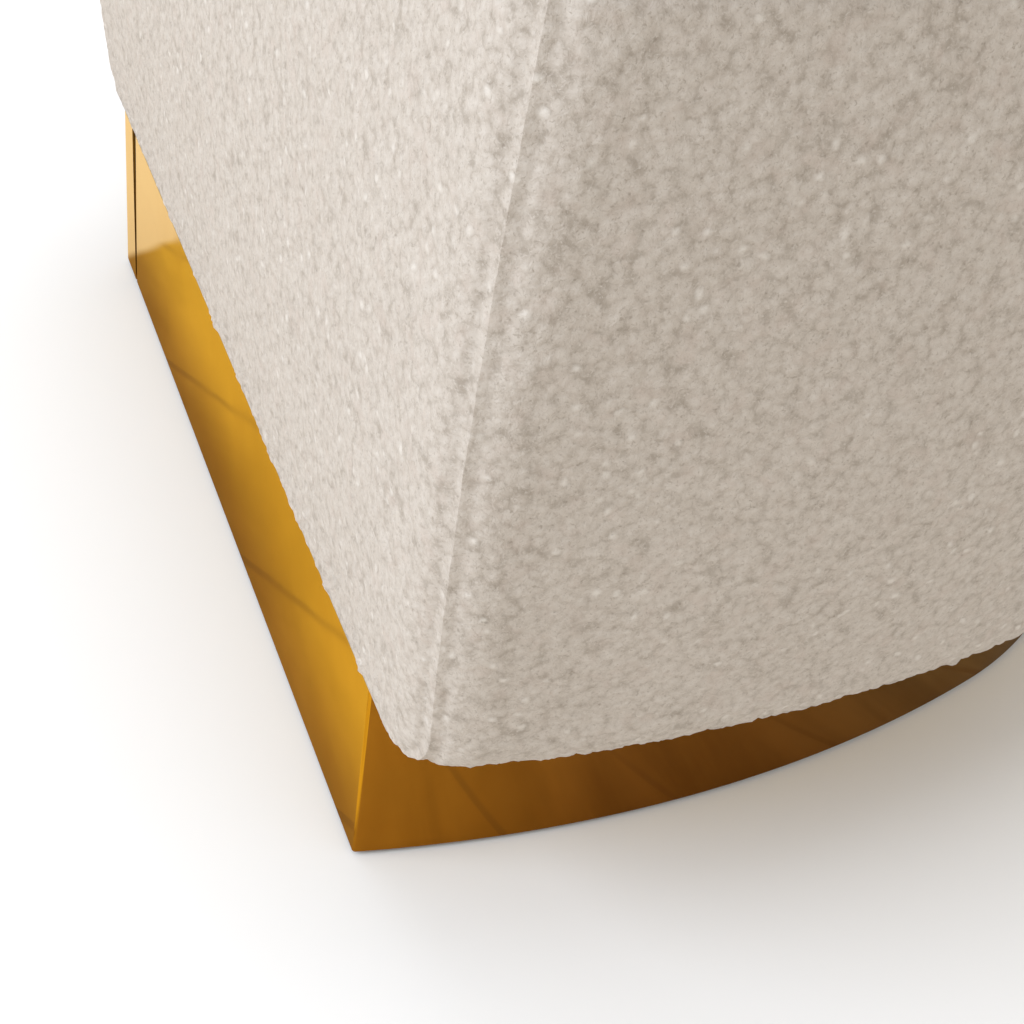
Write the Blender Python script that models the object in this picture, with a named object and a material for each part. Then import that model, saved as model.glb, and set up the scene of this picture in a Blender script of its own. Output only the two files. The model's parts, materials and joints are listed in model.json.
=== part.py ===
"""D-shaped storage ottoman: padded body and hinged lid over a gold-banded plinth.

Metres, +Z up. The flat back faces +Y, the round front faces -Y, and the origin is on the
floor under the middle of the whole object. "Depth" is the distance forward of the plinth's
back plane. An outline is a D-shaped loop: the plinth's outline grown by one amount at the
sides and front and by another at the back.
"""

import math

import bmesh
import bpy
from mathutils import Vector

GAP = 0.0003  # air between touching pieces

# Plinth outline: straight back, two bowed sides and a round front, all tangent.
SIDE_RADIUS = 0.665
SIDE_CENTRE_X = 0.424
SIDE_CENTRE_DEPTH = 0.118
FRONT_TURN = math.radians(17.9)
FRONT_RADIUS = SIDE_RADIUS - SIDE_CENTRE_X / math.cos(FRONT_TURN)
FRONT_CENTRE_DEPTH = SIDE_CENTRE_DEPTH + SIDE_CENTRE_X * math.tan(FRONT_TURN)
PLINTH_DEPTH = FRONT_CENTRE_DEPTH + FRONT_RADIUS

# Body over the plinth.
STEP_OUT = 0.023  # flat underside of the body outside the plinth
ROLL_RADIUS = 0.037  # rounded underside outside that
OVERHANG = STEP_OUT + ROLL_RADIUS  # sides and front stand out past the plinth, the back is flush
SIDE_CROWN = 0.010
BACK_CROWN = 0.009
LID_CROWN = 0.005
CORNER_RADIUS = 0.028
TUCKED_CORNER = 0.006  # back corners where the cover goes under the body
EDGE_RADIUS = 0.012  # soft edges along the parting line
BACK_Y = (PLINTH_DEPTH + OVERHANG + SIDE_CROWN + BACK_CROWN) / 2 - BACK_CROWN

# Heights.
BAND_FOOT = 0.002
PLINTH_TOP = 0.100
WOOD_FOOT = 0.0035
BASE_FOOT = 0.1031
BASE_TOP = 0.1151
BASE_BEVEL = 0.009
WALL_FOOT = BASE_TOP + GAP
WALL_TOP = 0.4007
RIM_FOOT = WALL_TOP + GAP
BODY_TOP = 0.4153
LID_FOOT = 0.4207
HINGE_Z = (BODY_TOP + LID_FOOT) / 2
COVER_FOOT = PLINTH_TOP + GAP
UNDER_Z = COVER_FOOT + ROLL_RADIUS  # top of the rounded underside
SHOULDER_Z = BODY_TOP - EDGE_RADIUS  # foot of the soft edge under the lid
LID_BOARD_TOP = 0.4355
LID_EDGE_TOP = 0.477
SEAT_TOP = 0.486

# Board and cloth thicknesses.
BAND = 0.0012
CLOTH = 0.0025
PLINTH_BOARD = 0.015
WALL_BOARD = 0.009
BACK_BOARD = 0.012
LINING = 0.0025

# Where the boards' outer faces lie on the outline.
WALL_SIDE = STEP_OUT + 0.018
BOARD_BACK = -0.013
RIM_SETBACK = 0.006  # rim's outer edge in from the cover's face
LID_BOARD_SIDE = STEP_OUT + 0.026
FLAP = 0.008  # cover turned in under the body
FOLD = 0.0097  # cover turned in over the rim and under the lid board
REBATE = 0.010
LID_TOP_RADIUS = 0.020
RIM_INNER = STEP_OUT - 0.012
RIM_INNER_BACK = -0.049
EDGE_PLAY = 0.0014  # back board's ends stop short of the curved wall's outer face
POST_PLAY = 0.0006  # corner posts stop short of its inner face
LINING_AIR = 0.0008  # between the curved wall and its lining

# Joint in the gold band, on the back near the +X corner.
BAND_JOINT_X = 0.205
BAND_JOINT_FOOT = 0.003
BAND_JOINT_HEAD = 0.009
BEND_RADIUS = 0.0016  # of the band's two sharp bends

# Plinth carcass. Spots are (x, depth).
RAIL_HALF = 0.2285
BLOCK_X = 0.2145
BLOCK_INNER_X = 0.172
BLOCK_REACH = 0.060
CROSS_RAIL_HALF = 0.011
CROSS_RAIL_PLAY = 0.0015  # short of the bent front
DUST_COVER_FOOT = 0.0022
DUST_COVER_TOP = 0.0032
DUST_COVER_CORNER = 0.002
GLIDE_SPOTS = ((-0.200, 0.030), (0.200, 0.030), (-0.205, 0.270), (0.205, 0.270), (0, 0.440))
GLIDE_RADIUS = 0.010
GLIDE_TOP_RADIUS = 0.011
GLIDE_HEIGHT = 0.0019
SCREW_SPOTS = ((-0.200, 0.030), (0.200, 0.030), (0, 0.120), (0, 0.360))
SCREW_HEAD_Z = 0.060
SCREW_HEAD_RADIUS = 0.0042
SCREW_HEAD = 0.003
SCREW_RADIUS = 0.0021
SCREW_TAPER = 0.048  # where the point begins
SCREW_LENGTH = 0.052
SCREW_TIP_RADIUS = 0.0006
SCREW_PLAY = 0.0005  # between a screw's head and its hole

# Inside the body. Corners are radii.
BASE_CORNER = 0.004
POST = 0.027  # legs of the corner posts
STEP_CORNER = 0.006  # raised part of the rim and of the lid board
RIM_INNER_CORNER = 0.020
LINING_CORNER = 0.062
FLOOR_LINING = 0.003
PADDING_CORNER = 0.001
HEM_PLAY = 3 * GAP  # padding's foot kept back from the cover

# Lid fittings.
LID_BOARD_CORNER = 0.015
FOAM_HEM = 0.002  # foam begins above the cover's turn-in
LID_LINING = 0.0032
LID_LINING_INSET = 0.004
BUMPER_SPOTS = ((-0.265, 0.150), (0.265, 0.150), (-0.138, 0.4563), (0.138, 0.4563))
BUMPER_FOOT_RADIUS = 0.0042
BUMPER_RADIUS = 0.0055
TAB = 0.0022
TAB_HALF = 0.014
TAB_FOOT = 0.388
TAB_STAND = 0.0043  # strap's middle out from the cover
TAB_BEND = ((-0.0215, 0), (-0.007, 0), (-0.0005, 0.0006), (0.0028, 0.0030), (TAB_STAND, 0.0080))

# Hinges.
HINGE_X = 0.150
HINGE_BACK = -0.004
LEAF_LENGTH = 0.064
LEAF_REACH = 0.030
LEAF = 0.0015
KNUCKLE_RADIUS = 0.0032
PIN_RADIUS = 0.0015
KNUCKLE_SPLIT = 0.014  # half length of the middle knuckle
SCREW_DEPTH = 0.027  # screws' distance forward of the back plane
SCREW_SPREAD = 0.022
TONGUE_LAP = 0.002  # knuckle tongues run this far into the leaf
PIN_OUT = 0.0008  # pins stand out past the knuckles
PIN_TIP = 0.0006
PIN_TIP_RADIUS = 0.0009
SPARE = 0.01  # cutters run on this far
COUNTERSINK = (0.0047, 0.0027, 0.0020)  # mouth radius, depth and throat radius, from SINK_AIR out
SINK_AIR = 0.001
THROUGH = 0.006
WOOD_SCREW = ((0, 0.0033), (0.0018, 0.0015), (0.0100, 0.0015), (0.0120, 0.0004))
WOOD_SCREW_HOLE = ((LEAF, 0.0026), (0.0022, 0.0019), (0.0130, 0.0019))

BACK_STEPS = 1
CORNER_STEPS = 4
FRONT_STEPS = 8
SHORTEST_TURN = math.radians(0.4)
UNDER_STEPS = 5
WALL_STEPS = 6
EDGE_STEPS = 3
LID_BAND_STEPS = 3
LID_TOP_STEPS = 4
SEAT_ROWS = ((0.040, 0.50), (0.090, 0.85), (0.150, 1.0))  # (drawn in, share of the seat's rise)
SIDE_TURNS = [math.radians(turn) for turn in (-7, -3, 1, 5, 9, 13.5)]  # shared by every outline
HALF_STEPS = BACK_STEPS + CORNER_STEPS + 1 + len(SIDE_TURNS) + FRONT_STEPS
RIGHT_SEAM = BACK_STEPS + CORNER_STEPS // 2
LEFT_SEAM = 2 * HALF_STEPS - RIGHT_SEAM
ROUND = 14  # sides of a small round piece

# Colour, roughness and metallic value of each finish.
BOUCLE = ((0.72, 0.68, 0.62), 0.95, 0.0)
GOLD = ((0.80, 0.50, 0.17), 0.18, 1.0)
PLY = ((0.62, 0.45, 0.28), 0.65, 0.0)
PINE = ((0.66, 0.50, 0.31), 0.7, 0.0)
STAINED = ((0.05, 0.03, 0.02), 0.6, 0.0)
FOAM = ((0.85, 0.80, 0.62), 0.95, 0.0)
LINING_CLOTH = ((0.55, 0.50, 0.44), 0.9, 0.0)
DUST_CLOTH = ((0.03, 0.03, 0.03), 0.95, 0.0)
STEEL = ((0.60, 0.60, 0.60), 0.3, 1.0)
RUBBER = ((0.05, 0.05, 0.05), 0.8, 0.0)
FELT = ((0.16, 0.13, 0.11), 0.95, 0.0)


def clear_scene():
    for old in list(bpy.data.objects):
        bpy.data.objects.remove(old, do_unlink=True)


def material(name, finish):
    colour, roughness, metallic = finish
    made = bpy.data.materials.new(name)
    made.use_nodes = True
    made.diffuse_color = (*colour, 1)
    shader = made.node_tree.nodes["Principled BSDF"]
    shader.inputs["Base Color"].default_value = (*colour, 1)
    shader.inputs["Roughness"].default_value = roughness
    shader.inputs["Metallic"].default_value = metallic
    return made


def add_loft(mesh, loops, ring=False, open_path=False):
    """Skin a row of loops. ring joins the last loop to the first, open_path leaves each loop open."""
    rows = [[mesh.verts.new(point) for point in loop] for loop in loops]
    pairs = list(zip(rows, rows[1:]))
    if ring:
        pairs.append((rows[-1], rows[0]))
    count = len(rows[0])
    for low, high in pairs:
        for i in range(count - int(open_path)):
            j = (i + 1) % count
            mesh.faces.new((low[i], low[j], high[j], high[i]))
    if not ring:
        mesh.faces.new(rows[0])
        mesh.faces.new(rows[-1])
    if open_path:
        # Each end is closed rung by rung, between the way out and the way back of the section.
        for i in range(len(rows) // 2 - 1):
            rung = (rows[i], rows[i + 1], rows[-2 - i], rows[-1 - i])
            for end in (0, -1):
                mesh.faces.new([row[end] for row in rung])


def make_object(name, mesh, finish, pivot=(0, 0, 0)):
    """Turn a bmesh drawn in world space into an object whose origin is at pivot."""
    bmesh.ops.recalc_face_normals(mesh, faces=mesh.faces)
    bmesh.ops.translate(mesh, vec=-Vector(pivot), verts=mesh.verts)
    data = bpy.data.meshes.new(name)
    mesh.to_mesh(data)
    mesh.free()
    data.shade_smooth()
    data.set_sharp_from_angle(angle=math.radians(35))
    data.materials.append(material(name, finish))
    made = bpy.data.objects.new(name, data)
    made.location = pivot
    bpy.context.collection.objects.link(made)
    return made


def loft(name, loops, finish, ring=False, open_path=False, pivot=(0, 0, 0)):
    mesh = bmesh.new()
    add_loft(mesh, loops, ring, open_path)
    return make_object(name, mesh, finish, pivot)


def prism(name, corners, foot, top, finish, pivot=(0, 0, 0)):
    """An upright prism on corners given as (x, depth)."""
    loops = [[(x, BACK_Y - depth, z) for x, depth in corners] for z in (foot, top)]
    return loft(name, loops, finish, pivot=pivot)


def boolean(target, tool, operation):
    tool.hide_render = True
    tool.display_type = "WIRE"
    modifier = target.modifiers.new(operation.lower(), "BOOLEAN")
    modifier.operation = operation
    modifier.object = tool
    modifier.solver = "EXACT"


def arc(centre_x, centre_depth, radius, start, end, steps):
    """Points (x, depth) of an arc, without its last one."""
    turns = [start + (end - start) * i / steps for i in range(steps)]
    return [(centre_x + radius * math.cos(t), centre_depth + radius * math.sin(t)) for t in turns]


def both_halves(half, z):
    """Points of the +X half, back to front, then the -X half, front to back."""
    points = [(x, BACK_Y - depth, z) for x, depth in half]
    return points + [(-x, y, z) for x, y, z in reversed(points[:-1])]


def bowed_side(side, start_turn):
    """Points of the +X side. One that lies before the start is moved just past it."""
    radius = SIDE_RADIUS + side
    turns = [start_turn]
    for turn in SIDE_TURNS:
        turns.append(max(turn, turns[-1] + SHORTEST_TURN))
    points = []
    for turn in turns:
        depth = SIDE_CENTRE_DEPTH + radius * math.sin(turn)
        points.append((radius * math.cos(turn) - SIDE_CENTRE_X, depth))
    return points


def round_front(side, start_turn):
    half = bowed_side(side, start_turn)
    half += arc(0, FRONT_CENTRE_DEPTH, FRONT_RADIUS + side, FRONT_TURN, math.pi / 2, FRONT_STEPS)
    return half + [(0, PLINTH_DEPTH + side)]


def outline(side, back, corner, z):
    """A closed D loop from the middle of the back, round by +X."""
    centre_depth = corner - back
    inner_radius = SIDE_RADIUS + side - corner
    reach = math.sqrt(inner_radius**2 - (centre_depth - SIDE_CENTRE_DEPTH) ** 2)
    centre_x = reach - SIDE_CENTRE_X
    side_start = math.atan2(centre_depth - SIDE_CENTRE_DEPTH, reach)
    half = [(centre_x * i / BACK_STEPS, -back) for i in range(BACK_STEPS)]
    half += arc(centre_x, centre_depth, corner, -math.pi / 2, side_start, CORNER_STEPS)
    half += round_front(side, side_start)
    return both_halves(half, z)[:-1]


def half_width(side, depth):
    """Half the outline's width at a depth on its bowed sides."""
    return math.sqrt((SIDE_RADIUS + side) ** 2 - (depth - SIDE_CENTRE_DEPTH) ** 2) - SIDE_CENTRE_X


def bow(side, start_depth, z):
    """An open path round the sides and front that starts and ends at start_depth."""
    start_turn = math.asin((start_depth - SIDE_CENTRE_DEPTH) / (SIDE_RADIUS + side))
    return both_halves(round_front(side, start_turn), z)


def bent_board(name, side, thickness, start_depth, foot, top, finish):
    """A board bent round the sides and front, its outer face at side."""
    ends = ((side, foot), (side, top), (side - thickness, top), (side - thickness, foot))
    loops = [bow(offset, start_depth, z) for offset, z in ends]
    return loft(name, loops, finish, ring=True, open_path=True)


def d_panel(name, side, back, corner, foot, top, finish):
    return loft(name, [outline(side, back, corner, z) for z in (foot, top)], finish)


def drawn_in(end, neighbour):
    """The end of a path, moved along it by a gap."""
    end, neighbour = Vector(end), Vector(neighbour)
    return end + (neighbour - end).normalized() * GAP


def stretch(loop, first, last):
    """The part of a closed loop between two indexes, short of each by a gap."""
    points = [loop[i % len(loop)] for i in range(first, last + 1)]
    return [drawn_in(points[0], points[1])] + points[1:-1] + [drawn_in(points[-1], points[-2])]


def turned_loops(foot, along, across, stations, sides=ROUND):
    """Circles round a line from foot, at (distance, radius) stations."""
    foot, along, across = Vector(foot), Vector(along), Vector(across)
    other = along.cross(across)
    loops = []
    for distance, radius in stations:
        turns = [2 * math.pi * i / sides for i in range(sides)]
        centre = foot + along * distance
        loops.append([centre + (across * math.cos(t) + other * math.sin(t)) * radius for t in turns])
    return loops


def turned(name, feet, along, stations, finish=STEEL, pivot=(0, 0, 0)):
    """Turned bodies along X or Z, one at each foot, in one object."""
    mesh = bmesh.new()
    for foot in feet:
        add_loft(mesh, turned_loops(foot, along, (0, 1, 0), stations))
    return make_object(name, mesh, finish, pivot)


def turned_each(name, feet, along, stations, finish=STEEL):
    """Equal turned pieces, each an object of its own. Returns their names."""
    names = [f"{name}_{i}" for i in range(1, len(feet) + 1)]
    for piece, foot in zip(names, feet):
        turned(piece, [foot], along, stations, finish)
    return names


# Outer surfaces of the upholstery, as rows of (side, back, corner, z).


def swell(z, low, high):
    """0 at both heights and 1 half way between them."""
    return 1 - ((2 * z - low - high) / (high - low)) ** 2


def back_face(z, inset):
    return BACK_CROWN * swell(max(z, COVER_FOOT), COVER_FOOT, SHOULDER_Z) - inset


def wall_row(z, inset):
    """The body's outline above its rounded underside."""
    side = OVERHANG + SIDE_CROWN * swell(z, UNDER_Z, SHOULDER_Z) - inset
    return (side, back_face(z, inset), CORNER_RADIUS - inset, z)


def under_row(turn, inset):
    """The body's outline at an angle round its rounded underside."""
    radius = ROLL_RADIUS - inset
    z = UNDER_Z - radius * math.cos(turn)
    corner = TUCKED_CORNER + (CORNER_RADIUS - TUCKED_CORNER) * math.sin(turn) - inset
    return (STEP_OUT + radius * math.sin(turn), back_face(z, inset), corner, z)


def body_surface(inset):
    """The body cover from its turned-in foot to its turned-in top, set in by inset."""
    rows = [(-FLAP, -FLAP, TUCKED_CORNER, COVER_FOOT + inset)]
    rows += [under_row(math.pi / 2 * i / UNDER_STEPS, inset) for i in range(UNDER_STEPS + 1)]
    for i in range(1, WALL_STEPS):
        rows.append(wall_row(UNDER_Z + (SHOULDER_Z - UNDER_Z) * i / WALL_STEPS, inset))
    return rows + soft_edge(SHOULDER_Z, 1, inset)


def soft_edge(shoulder_z, way, inset):
    """The rounded edge along the parting line, and the cover's turn-in. way is +1 up, -1 down."""
    rows = []
    radius = EDGE_RADIUS - inset
    for i in range(EDGE_STEPS + 1):
        turn = math.pi / 2 * i / EDGE_STEPS
        drawn = EDGE_RADIUS - radius * math.cos(turn)
        z = shoulder_z + way * radius * math.sin(turn)
        rows.append((OVERHANG - drawn, -drawn, CORNER_RADIUS - drawn, z))
    drawn = EDGE_RADIUS + FOLD
    rows.append((OVERHANG - drawn, -drawn, CORNER_RADIUS - drawn, rows[-1][3]))
    return rows


def lid_surface(inset):
    """The lid cover from its turned-in foot up over the edge to the crown of the seat."""
    shoulder_z = LID_FOOT + EDGE_RADIUS
    brow_z = LID_EDGE_TOP - LID_TOP_RADIUS
    rows = list(reversed(soft_edge(shoulder_z, -1, inset)))
    for i in range(1, LID_BAND_STEPS):
        z = shoulder_z + (brow_z - shoulder_z) * i / LID_BAND_STEPS
        crown = LID_CROWN * swell(z, shoulder_z, brow_z) - inset
        rows.append((OVERHANG + crown, crown, CORNER_RADIUS - inset, z))
    radius = LID_TOP_RADIUS - inset
    for i in range(LID_TOP_STEPS + 1):
        turn = math.pi / 2 * i / LID_TOP_STEPS
        drawn = LID_TOP_RADIUS - radius * math.cos(turn)
        rows.append((OVERHANG - drawn, -drawn, CORNER_RADIUS - drawn, brow_z + radius * math.sin(turn)))
    rise = SEAT_TOP - LID_EDGE_TOP
    for drawn, share in SEAT_ROWS:
        rows.append((OVERHANG - drawn, -drawn, CORNER_RADIUS, LID_EDGE_TOP - inset + rise * share))
    return rows


def loops_of(rows):
    return [outline(*row) for row in rows]


# Plinth.


def plinth_band():
    """One sheet, sharply bent at the back corners, that ends at a tapered joint in the back."""
    loops = []
    for offset, z in ((0, BAND_FOOT), (0, PLINTH_TOP), (-BAND, PLINTH_TOP), (-BAND, BAND_FOOT)):
        half_gap = (BAND_JOINT_FOOT if z == BAND_FOOT else BAND_JOINT_HEAD) / 2
        closed = outline(offset, offset, BEND_RADIUS + offset, z)
        y = BACK_Y + offset
        path = [(BAND_JOINT_X + half_gap, y, z)] + closed[BACK_STEPS:]
        path += [(0, y, z), (BAND_JOINT_X - half_gap, y, z)]
        loops.append(path)
    return loft("plinth_gold_band", loops, GOLD, ring=True, open_path=True)


def plinth():
    skin = BAND + GAP
    rail_back = skin + PLINTH_BOARD
    half = RAIL_HALF
    corners = ((-half, skin), (half, skin), (half, rail_back), (-half, rail_back))
    prism("plinth_back_rail", corners, WOOD_FOOT, PLINTH_TOP, STAINED)
    wall_start = rail_back + GAP
    bent_board("plinth_curved_wall", -skin, PLINTH_BOARD, wall_start, WOOD_FOOT, PLINTH_TOP, STAINED)
    block_top = BASE_FOOT - GAP
    near = wall_start
    made = []
    for name, way in (("plinth_left_block", -1), ("plinth_right_block", 1)):
        corners = ((way * BLOCK_X, near), (way * BLOCK_X, BLOCK_REACH), (way * BLOCK_INNER_X, near))
        made.append(prism(name, corners, WOOD_FOOT, block_top, STAINED))
    rail_end = PLINTH_DEPTH - skin - PLINTH_BOARD - CROSS_RAIL_PLAY
    half = CROSS_RAIL_HALF
    corners = ((-half, near), (half, near), (half, rail_end), (-half, rail_end))
    made.append(prism("plinth_cross_rail", corners, WOOD_FOOT, block_top, STAINED))
    plinth_band()
    sheet = (-skin, -skin, DUST_COVER_CORNER)
    d_panel("dust_cover", *sheet, DUST_COVER_FOOT, DUST_COVER_TOP, DUST_CLOTH)
    feet = [(x, BACK_Y - depth, 0) for x, depth in GLIDE_SPOTS]
    turned_each("glide", feet, (0, 0, 1), ((0, GLIDE_RADIUS), (GLIDE_HEIGHT, GLIDE_TOP_RADIUS)), FELT)
    return made


def plinth_screws(plinth_woods, base_panel):
    """Screws up through the blocks and the cross rail into the base panel."""
    feet = [(x, BACK_Y - depth, SCREW_HEAD_Z) for x, depth in SCREW_SPOTS]
    stations = ((0, SCREW_HEAD_RADIUS), (SCREW_HEAD, SCREW_HEAD_RADIUS), (SCREW_HEAD, SCREW_RADIUS))
    stations += ((SCREW_TAPER, SCREW_RADIUS), (SCREW_LENGTH, SCREW_TIP_RADIUS))
    turned_each("plinth_screw", feet, (0, 0, 1), stations)
    wide, narrow = SCREW_HEAD_RADIUS + SCREW_PLAY, SCREW_RADIUS + 0.8 * SCREW_PLAY
    seat = SCREW_HEAD + SCREW_PLAY
    hole = ((-SCREW_HEAD_Z, wide), (seat, wide), (seat, narrow), (SCREW_LENGTH + 0.001, narrow))
    cutter = turned("plinth_screw_holes", feet, (0, 0, 1), hole)
    for wood in plinth_woods + [base_panel]:
        boolean(wood, cutter, "DIFFERENCE")


# Body.


def base_panel():
    rows = [(STEP_OUT, BOARD_BACK, BASE_CORNER, BASE_FOOT)]
    rows += [(WALL_SIDE, BOARD_BACK, BASE_CORNER, z) for z in (BASE_FOOT + BASE_BEVEL, BASE_TOP)]
    return loft("base_panel", loops_of(rows), PLY)


def body_frame():
    inner = -BOARD_BACK + BACK_BOARD
    half = half_width(WALL_SIDE, -BOARD_BACK) - EDGE_PLAY
    corners = ((-half, -BOARD_BACK), (half, -BOARD_BACK), (half, inner), (-half, inner))
    prism("back_board", corners, WALL_FOOT, WALL_TOP, PLY)
    bent_board("body_curved_wall", WALL_SIDE, WALL_BOARD, inner + GAP, WALL_FOOT, WALL_TOP, PLY)
    near = inner + GAP
    post_x = half_width(WALL_SIDE - WALL_BOARD, near) - POST_PLAY
    for name, way in (("left_corner_post", -1), ("right_corner_post", 1)):
        corners = ((way * post_x, near), (way * post_x, near + POST), (way * (post_x - POST), near))
        prism(name, corners, WALL_FOOT, WALL_TOP, PINE)


def rim():
    """Ring that carries the lid, rebated round its outside for the cover's turn-in."""
    rebate_z = BODY_TOP - CLOTH - GAP
    step = (OVERHANG - EDGE_RADIUS - REBATE, -EDGE_RADIUS - REBATE, STEP_CORNER)
    outer = (OVERHANG - RIM_SETBACK, -RIM_SETBACK, CORNER_RADIUS - RIM_SETBACK)
    brow = (OVERHANG - EDGE_RADIUS, -EDGE_RADIUS, CORNER_RADIUS - EDGE_RADIUS)
    inner = (RIM_INNER, RIM_INNER_BACK, RIM_INNER_CORNER)
    rows = [(*outer, RIM_FOOT), (*outer, rebate_z - RIM_SETBACK), (*brow, rebate_z)]
    rows += [(*step, rebate_z), (*step, BODY_TOP)]
    rows += [(*inner, BODY_TOP), (*inner, RIM_FOOT)]
    return loft("top_rim", loops_of(rows), PLY, ring=True)


def body_upholstery():
    cloth = loops_of(body_surface(0) + list(reversed(body_surface(CLOTH))))
    for name, first, last in seam_spans("cover"):
        panel = [stretch(loop, first, last) for loop in cloth]
        loft(name, panel, BOUCLE, ring=True, open_path=True)
    inset = CLOTH + GAP
    hem_inset = inset + HEM_PLAY
    hem_turn = math.acos((UNDER_Z - WALL_FOOT) / (ROLL_RADIUS - hem_inset))
    outer = [row for row in body_surface(inset) if WALL_FOOT + inset < row[3] < WALL_TOP]
    outer = [under_row(hem_turn, hem_inset)] + outer + [wall_row(WALL_TOP, inset)]
    inner = [(WALL_SIDE + GAP, BOARD_BACK + GAP, PADDING_CORNER, row[3]) for row in reversed(outer)]
    padding = loops_of(outer + inner)
    for name, first, last in seam_spans("padding"):
        panel = [stretch(loop, first, last) for loop in padding]
        loft(name, panel, FOAM, ring=True, open_path=True)


def seam_spans(kind):
    """Names and loop indexes of the two panels that meet on the back corners."""
    right_again = 2 * HALF_STEPS + RIGHT_SEAM
    return (("curved_" + kind, RIGHT_SEAM, LEFT_SEAM), ("back_" + kind, LEFT_SEAM, right_again))


def well_lining():
    side = WALL_SIDE - WALL_BOARD - LINING_AIR
    back = BOARD_BACK - BACK_BOARD - GAP
    outer = (side, back, LINING_CORNER)
    inner = (side - LINING, back - LINING, LINING_CORNER - LINING)
    rows = [(*outer, WALL_FOOT), (*outer, WALL_TOP), (*inner, WALL_TOP), (*inner, WALL_FOOT)]
    loft("well_wall_lining", loops_of(rows), LINING_CLOTH, ring=True)
    floor = [value - GAP for value in inner]
    d_panel("well_floor_lining", *floor, WALL_FOOT, WALL_FOOT + FLOOR_LINING, LINING_CLOTH)


# Lid.


def lid_board():
    rebate_z = LID_FOOT + CLOTH + GAP
    step = (OVERHANG - EDGE_RADIUS - REBATE, -EDGE_RADIUS - REBATE, STEP_CORNER)
    outer = (LID_BOARD_SIDE, BOARD_BACK, LID_BOARD_CORNER)
    rows = [(*step, LID_FOOT), (*step, rebate_z), (*outer, rebate_z), (*outer, LID_BOARD_TOP)]
    return loft("lid_board", loops_of(rows), PLY)


def lid_upholstery():
    shell = list(reversed(lid_surface(0))) + lid_surface(CLOTH)
    loft("lid_cover", loops_of(shell), BOUCLE)
    edge = (LID_BOARD_SIDE + GAP, BOARD_BACK + GAP, LID_BOARD_CORNER + GAP)
    hem_z = LID_FOOT + CLOTH + FOAM_HEM
    outer = [row for row in lid_surface(CLOTH + GAP) if row[3] > hem_z]
    rows = [(*edge, LID_BOARD_TOP + GAP), (*edge, outer[0][3])] + outer
    loft("lid_foam", loops_of(rows), FOAM)


def lid_fittings():
    inner = (RIM_INNER - LID_LINING_INSET, RIM_INNER_BACK - LID_LINING_INSET, RIM_INNER_CORNER)
    head = LID_FOOT - GAP
    d_panel("lid_lining_panel", *inner, head - LID_LINING, head, LINING_CLOTH)
    feet = [(x, BACK_Y - depth, BODY_TOP + GAP) for x, depth in BUMPER_SPOTS]
    stations = ((0, BUMPER_FOOT_RADIUS), (LID_FOOT - BODY_TOP - 2 * GAP, BUMPER_RADIUS))
    pull_tab()
    return turned_each("lid_bumper", feet, (0, 0, 1), stations, RUBBER)


def pull_tab():
    """A flat strap sewn in under the front of the lid and turned down over the parting line."""
    middle = [(OVERHANG + out, HINGE_Z - fall) for out, fall in TAB_BEND]
    middle += [(OVERHANG + TAB_STAND, TAB_FOOT)]
    upper, lower = [], []
    for i, (side, z) in enumerate(middle):
        before, after = middle[max(i - 1, 0)], middle[min(i + 1, len(middle) - 1)]
        run = Vector((after[0] - before[0], after[1] - before[1])).normalized()
        normal = Vector((-run.y, run.x)) * TAB / 2
        upper.append((side + normal.x, z + normal.y))
        lower.append((side - normal.x, z - normal.y))
    section = upper + list(reversed(lower))
    loops = []
    for x in (-TAB_HALF, TAB_HALF):
        loops.append([(x, BACK_Y - PLINTH_DEPTH - side, z) for side, z in section])
    loft("pull_tab", loops, LINING_CLOTH)


# Hinges.


def leaf(name, centre_x, foot, spans, screw_spots, sink):
    """A flat leaf with knuckles over spans of x, countersunk on its sink side (+1 top, -1 foot)."""
    pivot = (centre_x, BACK_Y + HINGE_BACK, HINGE_Z)
    half = LEAF_LENGTH / 2
    near = -HINGE_BACK + KNUCKLE_RADIUS + GAP
    far = -HINGE_BACK + LEAF_REACH
    xs = (centre_x - half, centre_x + half)
    corners = ((xs[0], near), (xs[1], near), (xs[1], far), (xs[0], far))
    made = prism(name, corners, foot, foot + LEAF, STEEL, pivot)
    for i, (start, end) in enumerate(spans):
        tongue = ((start, -HINGE_BACK + PIN_RADIUS), (end, -HINGE_BACK + PIN_RADIUS))
        tongue += ((end, near + TONGUE_LAP), (start, near + TONGUE_LAP))
        boolean(made, prism(f"{name}_tongue_{i}", tongue, foot, foot + LEAF, STEEL), "UNION")
        stations = ((0, KNUCKLE_RADIUS), (end - start, KNUCKLE_RADIUS))
        barrel = turned(f"{name}_knuckle_{i}", [(start, *pivot[1:])], (1, 0, 0), stations)
        boolean(made, barrel, "UNION")
    stations = ((0, PIN_RADIUS + GAP), (LEAF_LENGTH + 2 * SPARE, PIN_RADIUS + GAP))
    bore = turned(f"{name}_bore", [(xs[0] - SPARE, *pivot[1:])], (1, 0, 0), stations)
    boolean(made, bore, "DIFFERENCE")
    face = foot + LEAF if sink > 0 else foot
    feet = [(x, y, face + sink * SINK_AIR) for x, y in screw_spots]
    mouth, depth, throat = COUNTERSINK
    hole = ((0, mouth), (depth, throat), (THROUGH, throat))
    holes = turned(f"{name}_holes", feet, (0, 0, -sink), hole)
    boolean(made, holes, "DIFFERENCE")
    return made


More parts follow.
